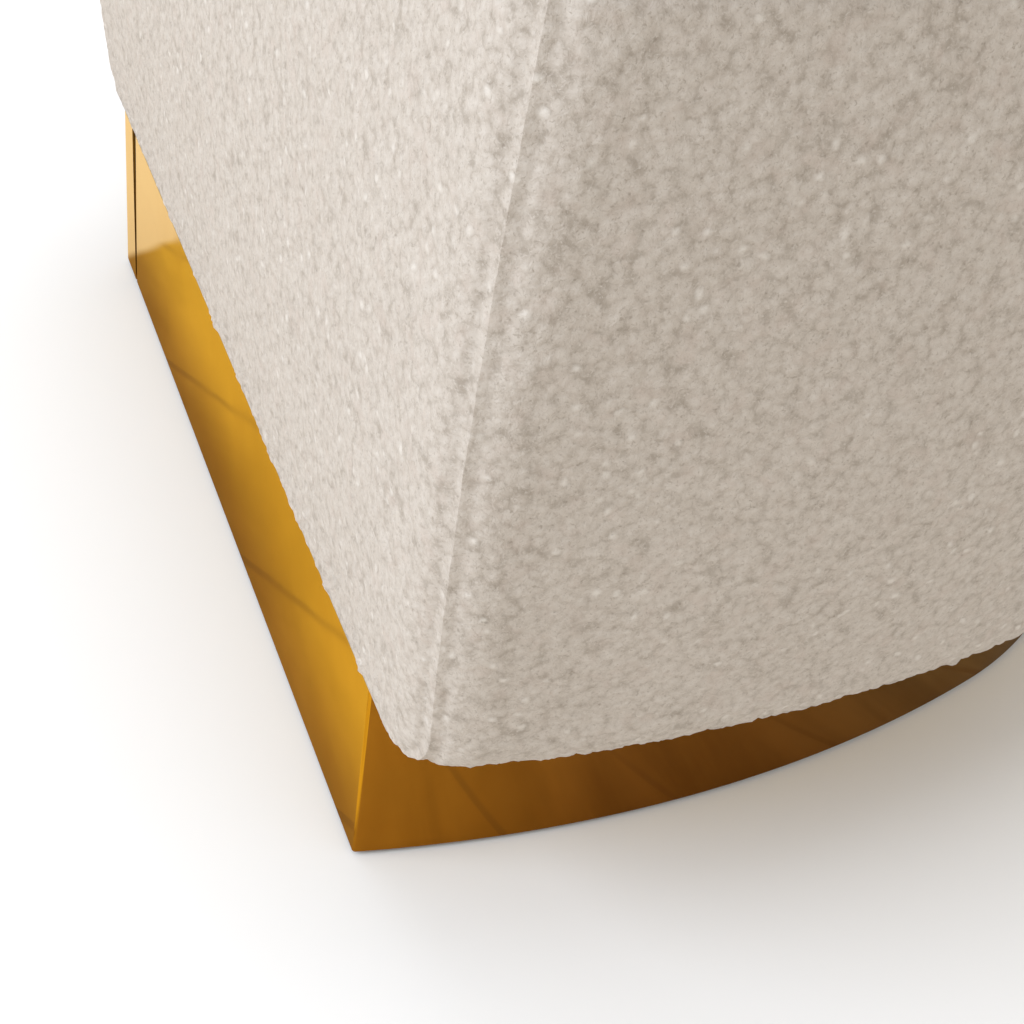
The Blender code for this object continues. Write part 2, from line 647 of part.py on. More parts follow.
def screws(name, spots, face, sink, wood):
    """Countersunk wood screws whose heads are flush with face, and their holes in wood."""
    feet = [(x, y, face) for x, y in spots]
    names = turned_each(name, feet, (0, 0, -sink), WOOD_SCREW)
    cutter = turned(f"{name}_holes", feet, (0, 0, -sink), WOOD_SCREW_HOLE)
    boolean(wood, cutter, "DIFFERENCE")
    return names


def hinges(rim_wood, board):
    fixed_foot = BODY_TOP + GAP
    moving_foot = LID_FOOT - GAP - LEAF
    y = BACK_Y - SCREW_DEPTH
    all_spots = []
    for side, centre_x in (("left", -HINGE_X), ("right", HINGE_X)):
        half = LEAF_LENGTH / 2
        middle = (centre_x - KNUCKLE_SPLIT, centre_x + KNUCKLE_SPLIT)
        outer = ((centre_x - half, middle[0] - GAP), (middle[1] + GAP, centre_x + half))
        spots = [(centre_x + SCREW_SPREAD * way, y) for way in (-1, 1)]
        all_spots += spots
        leaf(f"hinge_{side}_fixed_leaf", centre_x, fixed_foot, outer, spots, 1)
        leaf(f"hinge_{side}_moving_leaf", centre_x, moving_foot, (middle,), spots, -1)
        hinge_pin(f"hinge_{side}_pin", centre_x)
    screws("hinge_fixed_screw", all_spots, fixed_foot + LEAF, 1, rim_wood)
    return screws("hinge_moving_screw", all_spots, moving_foot, -1, board)


def hinge_pin(name, centre_x):
    half = LEAF_LENGTH / 2 + PIN_OUT
    stations = ((0, PIN_TIP_RADIUS), (PIN_TIP, PIN_RADIUS))
    stations += ((2 * half - PIN_TIP, PIN_RADIUS), (2 * half, PIN_TIP_RADIUS))
    axis = (BACK_Y + HINGE_BACK, HINGE_Z)
    turned(name, [(centre_x - half, *axis)], (1, 0, 0), stations, pivot=(centre_x, *axis))


def lid_pivot(names):
    """Hang every lid piece on an empty that sits on the hinge axis."""
    pivot = bpy.data.objects.new("lid_axis", None)
    pivot.location = (0, BACK_Y + HINGE_BACK, HINGE_Z)
    bpy.context.collection.objects.link(pivot)
    for name in names:
        piece = bpy.data.objects[name]
        piece.parent = pivot
        piece.location = Vector(piece.location) - Vector(pivot.location)


def main():
    clear_scene()
    plinth_woods = plinth()
    panel = base_panel()
    plinth_screws(plinth_woods, panel)
    body_frame()
    rim_wood = rim()
    well_lining()
    body_upholstery()
    board = lid_board()
    lid_upholstery()
    lid_pieces = ["lid_board", "lid_cover", "lid_foam", "lid_lining_panel", "pull_tab"]
    lid_pieces += lid_fittings()
    lid_pieces += ["hinge_left_moving_leaf", "hinge_right_moving_leaf"]
    lid_pieces += hinges(rim_wood, board)
    lid_pivot(lid_pieces)


main()
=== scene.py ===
"""Looks of the D-shaped storage ottoman: boucle upholstery, gold plinth band, wood and hardware."""

import json
import math

import bmesh
import bpy
import numpy as np
from mathutils import Matrix, Vector, geometry, noise
from mathutils.bvhtree import BVHTree

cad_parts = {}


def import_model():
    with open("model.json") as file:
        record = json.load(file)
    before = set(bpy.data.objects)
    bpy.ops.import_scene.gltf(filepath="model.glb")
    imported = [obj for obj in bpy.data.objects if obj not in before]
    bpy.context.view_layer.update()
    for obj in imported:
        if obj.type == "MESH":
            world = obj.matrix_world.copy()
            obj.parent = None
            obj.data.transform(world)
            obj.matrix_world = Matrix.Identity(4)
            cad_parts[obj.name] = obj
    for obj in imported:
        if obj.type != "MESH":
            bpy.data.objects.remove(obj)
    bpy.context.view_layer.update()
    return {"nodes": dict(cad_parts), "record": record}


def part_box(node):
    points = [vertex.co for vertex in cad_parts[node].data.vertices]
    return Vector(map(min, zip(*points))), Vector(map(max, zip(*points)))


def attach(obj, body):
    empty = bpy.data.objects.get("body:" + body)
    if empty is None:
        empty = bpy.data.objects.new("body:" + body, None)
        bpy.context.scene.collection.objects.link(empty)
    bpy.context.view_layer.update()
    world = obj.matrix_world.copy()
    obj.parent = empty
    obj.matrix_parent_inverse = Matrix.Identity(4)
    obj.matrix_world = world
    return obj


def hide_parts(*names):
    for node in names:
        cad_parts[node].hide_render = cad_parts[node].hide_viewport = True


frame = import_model()
noise.seed_set(1)  # the same boucle on every run

# The plinth's D outline: straight back, bowed sides and a round front, all tangent.
SIDE_RADIUS = 0.665
SIDE_CENTRE_X = 0.424
SIDE_CENTRE_DEPTH = 0.118
FRONT_TURN = math.radians(17.9)
FRONT_RADIUS = SIDE_RADIUS - SIDE_CENTRE_X / math.cos(FRONT_TURN)
FRONT_CENTRE_DEPTH = SIDE_CENTRE_DEPTH + SIDE_CENTRE_X * math.tan(FRONT_TURN)
PLINTH_DEPTH = FRONT_CENTRE_DEPTH + FRONT_RADIUS

# Upholstery over the plinth's outline.
STEP_OUT = 0.023
ROLL_RADIUS = 0.037
OVERHANG = STEP_OUT + ROLL_RADIUS
SIDE_CROWN = 0.010
BACK_CROWN = 0.009
LID_CROWN = 0.005
CORNER_RADIUS = 0.028
TUCKED_CORNER = 0.006
EDGE_RADIUS = 0.012
FOLD = 0.0097
FLAP = 0.008
LID_TOP_RADIUS = 0.020
SEAT_DOME = 0.009  # from the seat's edge up to its middle

# Heights and planes read from the frame.
BAND_FOOT, BAND_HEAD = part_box("plinth_gold_band")[0].z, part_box("plinth_gold_band")[1].z
BACK_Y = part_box("plinth_gold_band")[1].y
COVER_FOOT, BODY_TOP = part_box("curved_cover")[0].z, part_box("curved_cover")[1].z
LID_FOOT, SEAT_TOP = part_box("lid_cover")[0].z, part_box("lid_cover")[1].z
LID_EDGE_TOP = SEAT_TOP - SEAT_DOME
UNDER_Z = COVER_FOOT + ROLL_RADIUS
SHOULDER_Z = BODY_TOP - EDGE_RADIUS

# The gold band.
BAND = 0.0012
BEND_RADIUS = 0.0016
BAND_JOINT_X = 0.205
BAND_JOINT_FOOT = 0.003
BAND_JOINT_HEAD = 0.009
JOINT_CLEAR = 0.006  # no point of the band's back lies nearer its joint than this
BAND_EDGE = 0.0003  # bevel of the band's edges
BAND_STEP = 0.004
BEND_STEP = 0.0003
BAND_ROW = 0.012
BAND_MARGIN = 0.002  # from the band's edges to its first and last row
BAND_CREASE = math.radians(32)

CLOTH_STEP = 0.00225  # spacing of the upholstery's mesh
CORNER_STEP = 0.0014  # finer over the back corners, where the seams are
BACK_HALF = 0.255  # the outline's stretches, roughly, to count their steps by
CORNER_HALF_TURN = 0.7
SIDE_EXTRA_TURN = 0.14


# Outlines.


class Plan:
    """The D outline cut into a fixed number of steps, so that loops of any size match."""

    def __init__(self, step, corner_step, corner_radius=CORNER_RADIUS):
        self.back = max(2, round(BACK_HALF / step))
        self.corner = 2 * max(2, round(corner_radius * CORNER_HALF_TURN / corner_step))
        side_turn, front_turn = FRONT_TURN + SIDE_EXTRA_TURN, math.pi / 2 - FRONT_TURN
        self.side = max(4, round((SIDE_RADIUS + OVERHANG) * side_turn / step))
        self.front = max(6, round((FRONT_RADIUS + OVERHANG) * front_turn / step))
        self.half = self.back + self.corner + self.side + self.front
        self.count = 2 * self.half
        self.seam = self.back + self.corner // 2

    def loop(self, side, back, corner, z):
        """Points of the closed loop from the middle of the back, round by +X."""
        depth = corner - back
        reach = math.sqrt((SIDE_RADIUS + side - corner) ** 2 - (depth - SIDE_CENTRE_DEPTH) ** 2)
        start = math.atan2(depth - SIDE_CENTRE_DEPTH, reach)
        centre_x = reach - SIDE_CENTRE_X
        half = [(centre_x * i / self.back, -back) for i in range(self.back)]
        half += arc(centre_x, depth, corner, -math.pi / 2, start, self.corner)
        half += arc(-SIDE_CENTRE_X, SIDE_CENTRE_DEPTH, SIDE_RADIUS + side, start, FRONT_TURN, self.side)
        half += arc(0, FRONT_CENTRE_DEPTH, FRONT_RADIUS + side, FRONT_TURN, math.pi / 2, self.front)
        half.append((0, PLINTH_DEPTH + side))
        right = [(x, BACK_Y - depth, z) for x, depth in half]
        return right + [(-x, y, z) for x, y, z in reversed(right[1:-1])]


def arc(centre_x, centre_depth, radius, start, end, steps):
    """Points (x, depth) of an arc, without its last one."""
    points = []
    for i in range(steps):
        turn = start + (end - start) * i / steps
        points.append((centre_x + radius * math.cos(turn), centre_depth + radius * math.sin(turn)))
    return points


def evenly(start, end, step):
    """Values from start to end about step apart, both ends among them."""
    return np.linspace(start, end, max(2, math.ceil(abs(end - start) / step) + 1))


def swell(z, low, high):
    """0 at both heights and 1 half way between them."""
    return 1 - ((2 * z - low - high) / (high - low)) ** 2


def back_crown(z):
    return BACK_CROWN * swell(max(z, COVER_FOOT), COVER_FOOT, SHOULDER_Z)


def soft_edge(shoulder_z, way, step):
    """Rows of the rounded edge at the parting line, from the shoulder to the fold."""
    rows = []
    for turn in evenly(0, math.pi / 2, step / EDGE_RADIUS)[1:]:
        drawn = EDGE_RADIUS * (1 - math.cos(turn))
        z = shoulder_z + way * EDGE_RADIUS * math.sin(turn)
        rows.append((OVERHANG - drawn, -drawn, CORNER_RADIUS - drawn, z))
    edge_z = rows[-1][3]
    for drawn in evenly(EDGE_RADIUS, EDGE_RADIUS + FOLD, step)[1:]:
        rows.append((OVERHANG - drawn, -drawn, CORNER_RADIUS - drawn, edge_z))
    return rows


def body_rows(step):
    """(side, back, corner, z) of each row of the body's cover, from its hem to the fold at the top."""
    hem = evenly(-FLAP, STEP_OUT, 2 * step)
    rows = [(side, min(side, 0), TUCKED_CORNER, COVER_FOOT) for side in hem]
    for turn in evenly(0, math.pi / 2, step / ROLL_RADIUS)[1:]:
        z = UNDER_Z - ROLL_RADIUS * math.cos(turn)
        corner = TUCKED_CORNER + (CORNER_RADIUS - TUCKED_CORNER) * math.sin(turn)
        rows.append((STEP_OUT + ROLL_RADIUS * math.sin(turn), back_crown(z), corner, z))
    for z in evenly(UNDER_Z, SHOULDER_Z, step)[1:]:
        side = OVERHANG + SIDE_CROWN * swell(z, UNDER_Z, SHOULDER_Z)
        rows.append((side, back_crown(z), CORNER_RADIUS, z))
    return rows + soft_edge(SHOULDER_Z, 1, step)


def lid_rows(step):
    """Rows of the lid's cover from the fold under it to the edge of the seat."""
    foot, brow = LID_FOOT + EDGE_RADIUS, LID_EDGE_TOP - LID_TOP_RADIUS
    rows = list(reversed(soft_edge(foot, -1, step)))
    for z in evenly(foot, brow, step):
        crown = LID_CROWN * swell(z, foot, brow)
        rows.append((OVERHANG + crown, crown, CORNER_RADIUS, z))
    for turn in evenly(0, math.pi / 2, step / LID_TOP_RADIUS)[1:]:
        drawn = LID_TOP_RADIUS * (1 - math.cos(turn))
        z = brow + LID_TOP_RADIUS * math.sin(turn)
        rows.append((OVERHANG - drawn, -drawn, CORNER_RADIUS - drawn, z))
    return rows


# Meshes.


def new_piece(name, points, faces, finish, body, slot, nodes=()):
    """A piece in the row frame, shaded smooth, riding on a body and standing for CAD nodes."""
    mesh = bpy.data.meshes.new(name)
    mesh.from_pydata([tuple(point) for point in points], [], [tuple(face) for face in faces])
    mesh.update()
    mesh.polygons.foreach_set("use_smooth", [True] * len(mesh.polygons))
    piece = bpy.data.objects.new(name, mesh)
    bpy.context.scene.collection.objects.link(piece)
    mesh.materials.append(finish)
    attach(piece, body)
    if nodes:
        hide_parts(*nodes)
    return piece


def strip_faces(rows, columns, closed):
    """Quads of a grid of points, facing out where rows go up and columns go round by +X."""
    faces = []
    for i in range(rows - 1):
        low, high = i * columns, (i + 1) * columns
        for j in range(columns if closed else columns - 1):
            k = (j + 1) % columns
            faces.append((low + j, high + j, high + k, low + k))
    return faces


def grid_normals(grid):
    """Outward normals of a grid whose columns form closed loops."""
    along = np.roll(grid, -1, axis=1) - np.roll(grid, 1, axis=1)
    up = np.gradient(grid, axis=0)
    normal = np.cross(up, along)
    return normal / np.maximum(np.linalg.norm(normal, axis=2, keepdims=True), 1e-12)


# Boucle relief.

NUB = 0.0046  # spacing of the yarn's nubs
BIG_NUB = 0.0125
NUB_RISE = 0.00085
BIG_NUB_RISE = 0.0007
BIG_NUB_SHARE = 0.23  # a big nub's radius, as a share of its spacing
NUB_SHARE = 0.72
WANDER = 0.0016  # how far the nubs stray from an even spread
PUCKER = 0.0006
UNDER_LOUDNESS = 0.9  # how much louder the boucle gets round the body's underside
SAG = 0.0011  # slow rise and fall of the cloth there
SAG_SIZE = 0.022
SEAM_RIDGE = 0.0010
SEAM_RIDGE_WIDTH = 0.0016
SEAM_PIT = 0.0010
SEAM_PIT_OUT = 0.0041  # from the seam to the pits beside it
SEAM_PIT_WIDTH = 0.0020


def dome(distance, radius):
    """Height from 0 to 1 of a round bump."""
    share = distance / radius
    return (1 - share * share) if share < 1 else 0.0


def nubs(x, y, z):
    """Height of the boucle loops at a point."""
    point = Vector((x, y, z))
    bent = point + WANDER * noise.noise_vector(point / 0.011)
    small = dome(noise.voronoi(bent / NUB)[0][0], NUB_SHARE)
    distances, centres = noise.voronoi(bent / BIG_NUB)
    big = 0.0
    if noise.cell(centres[0] * 7.3) > 0:  # about half of the places have one
        big = dome(distances[0], BIG_NUB_SHARE)
    slack = noise.noise(point / 0.034) + 0.5 * noise.noise(point / 0.09)
    return NUB_RISE * (small - 0.5) + BIG_NUB_RISE * big + PUCKER * slack


def seam_relief(distance, x, y, z):
    """A raised, slightly uneven ridge at a seam with pulled-in pits on both sides of it."""
    point = Vector((x, y, z))
    stitch = 0.75 + 0.5 * noise.noise(point / 0.008)
    pit = 0.8 + 0.6 * noise.noise((point + Vector((0, 0, 0.5))) / 0.012)
    ridge = SEAM_RIDGE * stitch * math.exp(-((distance / SEAM_RIDGE_WIDTH) ** 2))
    return ridge - SEAM_PIT * pit * math.exp(-(((distance - SEAM_PIT_OUT) / SEAM_PIT_WIDTH) ** 2))


def fade_in(value, start, end):
    """0 before start and 1 past end, smooth between them."""
    share = min(1, max(0, (value - start) / (end - start)))
    return share * share * (3 - 2 * share)


# Finishes.


class Value:
    """A shader socket. Arithmetic on it adds Math nodes."""

    def __init__(self, finish, socket):
        self.finish, self.socket = finish, socket

    def maths(self, operation, *others):
        inputs = dict(enumerate((self, *others)))
        return self.finish.node("ShaderNodeMath", {"operation": operation}, inputs)

    def __add__(self, other):
        return self.maths("ADD", other)

    def __sub__(self, other):
        return self.maths("SUBTRACT", other)

    def __rsub__(self, other):
        return self.maths("MULTIPLY_ADD", -1.0, other)

    def __mul__(self, other):
        return self.maths("MULTIPLY", other)

    def __truediv__(self, other):
        return self.maths("DIVIDE", other)

    def above(self, start, end):
        """0 below start and 1 past end, smooth between them."""
        settings = {"interpolation_type": "SMOOTHSTEP"}
        inputs = {"Value": self, "From Min": start, "From Max": end}
        return self.finish.node("ShaderNodeMapRange", settings, inputs)

    __radd__, __rmul__ = __add__, __mul__


class Finish:
    """A node-based material built round one Principled shader."""

    def __init__(self, name, **constants):
        self.material = bpy.data.materials.new(name)
        self.material.use_nodes = True
        self.nodes, self.links = self.material.node_tree.nodes, self.material.node_tree.links
        self.shader = self.nodes["Principled BSDF"]
        for key, value in constants.items():
            socket = key.replace("_", " ").title().replace("Ior", "IOR")
            self.shader.inputs[socket].default_value = value
        self.place = self.node("ShaderNodeTexCoord", output="Object")

    def node(self, kind, settings=None, inputs=None, output=0):
        """Adds a node, its settings first, and gives one of its outputs."""
        node = self.nodes.new(kind)
        for key, value in (settings or {}).items():
            setattr(node, key, value)
        for key, value in (inputs or {}).items():
            if isinstance(value, Value):
                self.links.new(value.socket, node.inputs[key])
            else:
                node.inputs[key].default_value = value
        return Value(self, node.outputs[output])

    def vector(self, operation, inputs):
        return self.node("ShaderNodeVectorMath", {"operation": operation}, inputs)

    def set(self, socket, value):
        self.links.new(value.socket, self.shader.inputs[socket])

    def noise(self, size, detail=2.0, roughness=0.5, distortion=0.0, place=None):
        """Soft noise from 0 to 1 with features of that size in metres."""
        inputs = {"Vector": place or self.place, "Scale": 1 / size, "Detail": detail}
        inputs.update({"Roughness": roughness, "Distortion": distortion})
        return self.node("ShaderNodeTexNoise", {}, inputs)

    def cells(self, size, place=None, smooth=0.0, output="Distance"):
        """Distance to the nearest of points scattered that far apart."""
        inputs = {"Vector": place or self.place, "Scale": 1 / size}
        settings = {"feature": "SMOOTH_F1" if smooth else "F1"}
        if smooth:
            inputs["Smoothness"] = smooth
        return self.node("ShaderNodeTexVoronoi", settings, inputs, output)

    def stretched(self, x, y, z):
        """The object's coordinates scaled along each axis."""
        return self.vector("MULTIPLY", {0: self.place, 1: (x, y, z)})

    def bent(self, size, amount):
        """The object's coordinates pushed about by noise, by up to about that amount."""
        push = self.node("ShaderNodeTexNoise", {}, {"Vector": self.place, "Scale": 1 / size}, "Color")
        push = self.vector("SUBTRACT", {0: push, 1: (0.5, 0.5, 0.5)})
        push = self.vector("SCALE", {0: push, "Scale": 2 * amount})
        return self.vector("ADD", {0: self.place, 1: push})

    def axis(self, name, place=None):
        return self.node("ShaderNodeSeparateXYZ", {}, {0: place or self.place}, name)

    def blend(self, factor, first, second):
        """A mix of two colours."""
        inputs = {0: factor, 6: self.colour(first), 7: self.colour(second)}
        return self.node("ShaderNodeMix", {"data_type": "RGBA"}, inputs, 2)

    @staticmethod
    def colour(value):
        return value if isinstance(value, Value) else (*value, 1)

    def bump(self, height, distance, strength=1.0):
        inputs = {"Height": height, "Distance": distance, "Strength": strength}
        self.set("Normal", self.node("ShaderNodeBump", {}, inputs))


YARN = 0.0040  # spacing of the nubs drawn in the shader
CURL = 0.0030
FIBRE = 0.0012
PALE_NUB = 0.0078
# Painted shade: the colour given to the low ground between the nubs and to the fibres' lows.
BOUCLE_PIT_SHADE = (0.350, 0.302, 0.252)
BOUCLE_GROUND = (0.485, 0.430, 0.374)
# Pale patches, and painted highlight on the tallest nubs and on the fibres' tops.
BOUCLE_PALE = (0.572, 0.520, 0.465)
BOUCLE_DOT = (0.665, 0.618, 0.562)
BOUCLE_BLUSH = (0.507, 0.427, 0.370)  # warm patches
# Painted shade in the deepest gaps between the nubs.
BOUCLE_GAP_SHADE = (0.20, 0.165, 0.13)


def boucle_finish():
    """Cream boucle: soft nubs of curled yarn, a few of them pale, with painted shade darkening the low
    ground and deep gaps between them and painted highlight lightening their tops.
    """
    looks = {"roughness": 0.95, "sheen_weight": 0.30, "sheen_roughness": 0.5}
    finish = Finish("boucle", specular_ior_level=0.15, **looks)
    finish.shader.inputs["Sheen Tint"].default_value = (1.0, 0.97, 0.93, 1)
    bent = finish.bent(0.0060, 0.0014)
    nub = 1 - finish.cells(YARN, bent, smooth=0.35) * 1.35
    curl = finish.noise(CURL, 3, 0.55, 1.2)
    fibre = finish.noise(FIBRE, 3, 0.65, 0.8)
    dot = (1 - finish.cells(PALE_NUB, bent) * 3.3).maths("MAXIMUM", 0.0)
    dot = dot * finish.axis("X", finish.cells(PALE_NUB, bent, output="Color")).above(0.42, 0.56)
    height = nub * 0.50 + curl * 0.60 + dot * 0.62 + fibre * 0.32
    finish.bump(height, 0.0012, 0.62)
    rise = nub * 0.6 + curl * 0.7
    # Painted shade: darker where the nubs' relief is low.
    base = finish.blend(rise.above(0.12, 0.55), BOUCLE_PIT_SHADE, BOUCLE_GROUND)
    # Painted highlight on the tallest nubs, with random pale patches.
    pale = rise.above(0.42, 0.95) * 0.75 + finish.noise(0.013, 2).above(0.4, 0.7) * 0.25
    base = finish.blend(pale, base, BOUCLE_PALE)
    # Painted highlight on the fibre relief's tops and painted shade in its lows.
    base = finish.blend(fibre.above(0.52, 0.70) * 0.75, base, BOUCLE_PALE)
    base = finish.blend((1 - fibre).above(0.54, 0.72) * 0.85, base, BOUCLE_PIT_SHADE)
    base = finish.blend(finish.noise(0.009, 3).above(0.5, 0.75) * 0.4, base, BOUCLE_BLUSH)
    base = finish.blend(dot.above(0.05, 0.80) * 0.80, base, BOUCLE_DOT)
    # Painted shade in deep gaps, kept to where the relief is low.
    pit = finish.noise(0.0018, 1).above(0.64, 0.80) * (1 - rise.above(0.45, 0.70))
    finish.set("Base Color", finish.blend(pit * 0.42, base, BOUCLE_GAP_SHADE))
    return finish.material


def gold_finish():
    """Polished gold-coloured sheet metal with the faint unevenness of bent sheet."""
    finish = Finish("polished_gold", metallic=1.0, coat_weight=0.15, coat_roughness=0.06)
    wave = finish.noise(0.11, 2, 0.4, place=finish.stretched(1, 1, 0.55))
    dent = finish.noise(0.035, 1, 0.4)
    finish.bump(wave + dent * 0.12, 0.0011, 0.55)
    smear = finish.noise(0.05, 4, 0.6, 0.6)
    brush = finish.noise(0.004, 3, 0.6, place=finish.stretched(0.08, 0.08, 1))
    finish.set("Roughness", smear.above(0.3, 0.8) * 0.07 + brush * 0.03 + 0.055)
    colour = finish.blend(smear.above(0.25, 0.85), (0.90, 0.63, 0.21), (0.84, 0.56, 0.17))
    finish.set("Base Color", colour)
    return finish.material


def wood_finish(name, pale, dark, along, size=0.010, roughness=0.6):
    """Wood grain with its lines running along one axis."""
    finish = Finish(name)
    squeeze = [0.06 if axis == along else 1.0 for axis in "xyz"]
    place = finish.stretched(*squeeze)
    ring = finish.noise(size, 4, 0.6, 1.2, place=place)
    pore = finish.noise(size / 9, 3, 0.6, place=place)
    grain = ring * 0.75 + pore * 0.25
    finish.set("Base Color", finish.blend(grain.above(0.35, 0.68), dark, pale))
    finish.set("Roughness", pore * 0.2 + (roughness - 0.1))
    finish.bump(grain, 0.0004, 0.5)
    return finish.material


def ply_finish():
    """Birch plywood: pale faces, with thin plies showing as darker lines along the edges."""
    finish = Finish("birch_plywood")
    ply = (finish.axis("Z") / 0.0028).maths("FRACT")
    line = ply.above(0.72, 0.95)
    upright = finish.node("ShaderNodeNewGeometry", output="True Normal")
    edge = 1 - finish.axis("Z", upright).maths("ABSOLUTE").above(0.3, 0.7)
    grain = finish.noise(0.012, 4, 0.6, 1.0, place=finish.stretched(0.08, 1, 1))
    board = finish.blend(grain.above(0.35, 0.7), (0.50, 0.34, 0.19), (0.66, 0.49, 0.31))
    finish.set("Base Color", finish.blend(line * edge * 0.55, board, (0.24, 0.13, 0.06)))
    finish.set("Roughness", grain * 0.2 + 0.5)
    finish.bump(grain + line * edge * -0.3, 0.0004, 0.5)
    return finish.material


def weave_height(finish, thread):
    """Height of a plain weave: threads over and under each other, in each of the three planes."""
    waves = []
    for name in ("X", "Y", "Z"):
        waves.append((finish.axis(name) * (math.pi / thread)).maths("SINE"))
    over = waves[0] * waves[1] + waves[1] * waves[2] + waves[2] * waves[0]
    return over * 0.25 + 0.5


def cloth_finish(name, pale, dark, thread, sheen=0.1):
    """Plain woven cloth with slightly uneven threads."""
    finish = Finish(name, roughness=0.9, sheen_weight=sheen, specular_ior_level=0.2)
    slub = finish.noise(thread * 6, 3, 0.6, place=finish.stretched(1, 1, 0.3))
    height = weave_height(finish, thread) * 0.7 + slub * 0.5
    finish.set("Base Color", finish.blend(height.above(0.3, 0.95), dark, pale))
    finish.bump(height, thread * 0.5, 0.7)
    return finish.material


def dust_finish():
    """Black spun-bonded dust cloth with a pattern of small bonded dots."""
    finish = Finish("dust_cloth", specular_ior_level=0.3)
    dots = 1 - finish.cells(0.0024) * 1.6
    felted = finish.noise(0.0012, 4, 0.7)
    finish.set("Base Color", finish.blend(felted, (0.012, 0.012, 0.012), (0.045, 0.045, 0.046)))
    finish.set("Roughness", felted * 0.2 + 0.7)
    finish.bump(felted + dots * 0.5, 0.0003, 0.6)
    return finish.material


def steel_finish():
    """Zinc-plated steel with fine brushing and dull spots."""
    finish = Finish("hinge_steel", metallic=1.0)
    brush = finish.noise(0.003, 4, 0.6, place=finish.stretched(0.05, 1, 1))
    spot = finish.noise(0.006, 3)
    finish.set("Base Color", finish.blend(spot, (0.52, 0.52, 0.53), (0.66, 0.65, 0.63)))
    finish.set("Roughness", brush * 0.22 + spot * 0.12 + 0.16)
    finish.bump(brush, 0.0001, 0.4)
    return finish.material


def moulded_finish(name, pale, dark, grain, roughness):
    """A fine-grained moulded, foamed or felted surface."""
    finish = Finish(name, specular_ior_level=0.35)
    coarse = finish.noise(grain * 5, 3)
    fine = finish.noise(grain, 3, 0.7)
    finish.set("Base Color", finish.blend(coarse * 0.6 + fine * 0.4, dark, pale))
    finish.set("Roughness", fine * 0.2 + (roughness - 0.1))
    finish.bump(fine, grain * 0.6, 0.6)
    return finish.material


BOUCLE = boucle_finish()
GOLD = gold_finish()
STAINED = wood_finish("stained_board", (0.060, 0.036, 0.022), (0.022, 0.013, 0.008), "x")
PINE = wood_finish("pine", (0.66, 0.44, 0.22), (0.45, 0.26, 0.11), "z")
PLY = ply_finish()
LINING = cloth_finish("lining_cotton", (0.62, 0.56, 0.48), (0.36, 0.31, 0.25), 0.0011)
STRAP = cloth_finish("strap_webbing", (0.70, 0.62, 0.52), (0.34, 0.28, 0.22), 0.0016, 0.2)
DUST = dust_finish()
STEEL = steel_finish()
FOAM = moulded_finish("foam", (0.80, 0.76, 0.62), (0.64, 0.58, 0.42), 0.0009, 0.95)
RUBBER = moulded_finish("rubber", (0.05, 0.05, 0.05), (0.018, 0.018, 0.018), 0.0005, 0.65)
FELT = moulded_finish("felt", (0.20, 0.18, 0.16), (0.08, 0.07, 0.06), 0.0008, 0.95)

SLOT_FINISHES = {
    "boucle": BOUCLE,
    "gold": GOLD,
    "stained_board": STAINED,
    "pine": PINE,
    "plywood": PLY,
    "foam": FOAM,
    "lining": LINING,
    "dust_cloth": DUST,
    "hinge_steel": STEEL,
    "rubber": RUBBER,
    "felt": FELT,
}


# Upholstery.

HINGE_X = 0.150
HINGE_CLEAR = 0.037  # half the stretch of cloth that each hinge presses flat
HINGE_FADE = 0.006
HINGE_REACH = 0.045  # in from the plinth's back
SEAT_SPRING = 0.030  # how quickly the seat rises from its edge
SEAT_RISE = 0.0064  # crown of the foam, before the panel's own lift
SEAT_STEP = 0.008  # spacing of the simulated panel's points
SEAT_STEP_RATIO = 4
SEAT_FRAMES = 20
SEAT_CLOTH = {
    "quality": 6,
    "mass": 0.4,
    "tension_stiffness": 40,
    "compression_stiffness": 40,
    "bending_stiffness": 1.5,
    "shrink_min": -0.015,  # the panel is cut this much fuller than its edge
    "use_pressure": True,
    "uniform_pressure_force": 4.0,
}
ABOVE_ALL = 2.0  # height from which the panel is measured
SEAT_SWELL = 0.005  # the most that the simulation lifts the panel off its foam
SEAM_REACH = 0.016
SEAM_HUSH = 0.6  # share of the boucle left beside a seam
TURN_IN = 0.0024
FOLD_SKIN = 0.0008  # depth of the cloth that lies flat on a rim
FOLD_LOUDNESS = 0.4
PRESS_REACH = 0.003  # depth of the cloth that a hinge leaf presses
PRESSED = -0.0006
UNDER_REACH = 0.030  # the boucle gets louder over this height, down to UNDER_Z
HEM_ROWS = (4, 12)  # rows over which the boucle comes in from the hem
EDGE_GAP = 0.6  # least distance of a panel's inner points from its edge, in steps


def pressed(x, y):
    """1 where a hinge leaf lies on the cloth and 0 away from it."""
    if y < BACK_Y - HINGE_REACH:
        return 0.0
    return 1 - fade_in(abs(abs(x) - HINGE_X), HINGE_CLEAR, HINGE_CLEAR + HINGE_FADE)


def relief(grid, seams, loudness, fold_rows):
    """How far each point of a grid of closed loops moves out along its normal."""
    heights = np.zeros(grid.shape[:2])
    for i, row in enumerate(grid):
        gaps = np.min([np.linalg.norm(row - row[seam], axis=1) for seam in seams], axis=0)
        for j, (x, y, z) in enumerate(row):
            height = nubs(x, y, z) * loudness[i]
            if loudness[i] > 1:
                height += (loudness[i] - 1) * SAG * noise.noise(Vector((x, y, 0)) / SAG_SIZE)
            if gaps[j] < SEAM_REACH:
                height = height * SEAM_HUSH + seam_relief(gaps[j], x, y, z) * min(1, loudness[i])
            if i in fold_rows:
                height += (PRESSED - height) * pressed(x, y)
            heights[i, j] = height
    return heights


def cover_grid(plan, rows, seams, loudness, fold_rows):
    grid = np.array([plan.loop(*row) for row in rows])
    return grid + grid_normals(grid) * relief(grid, seams, loudness, fold_rows)[:, :, None]


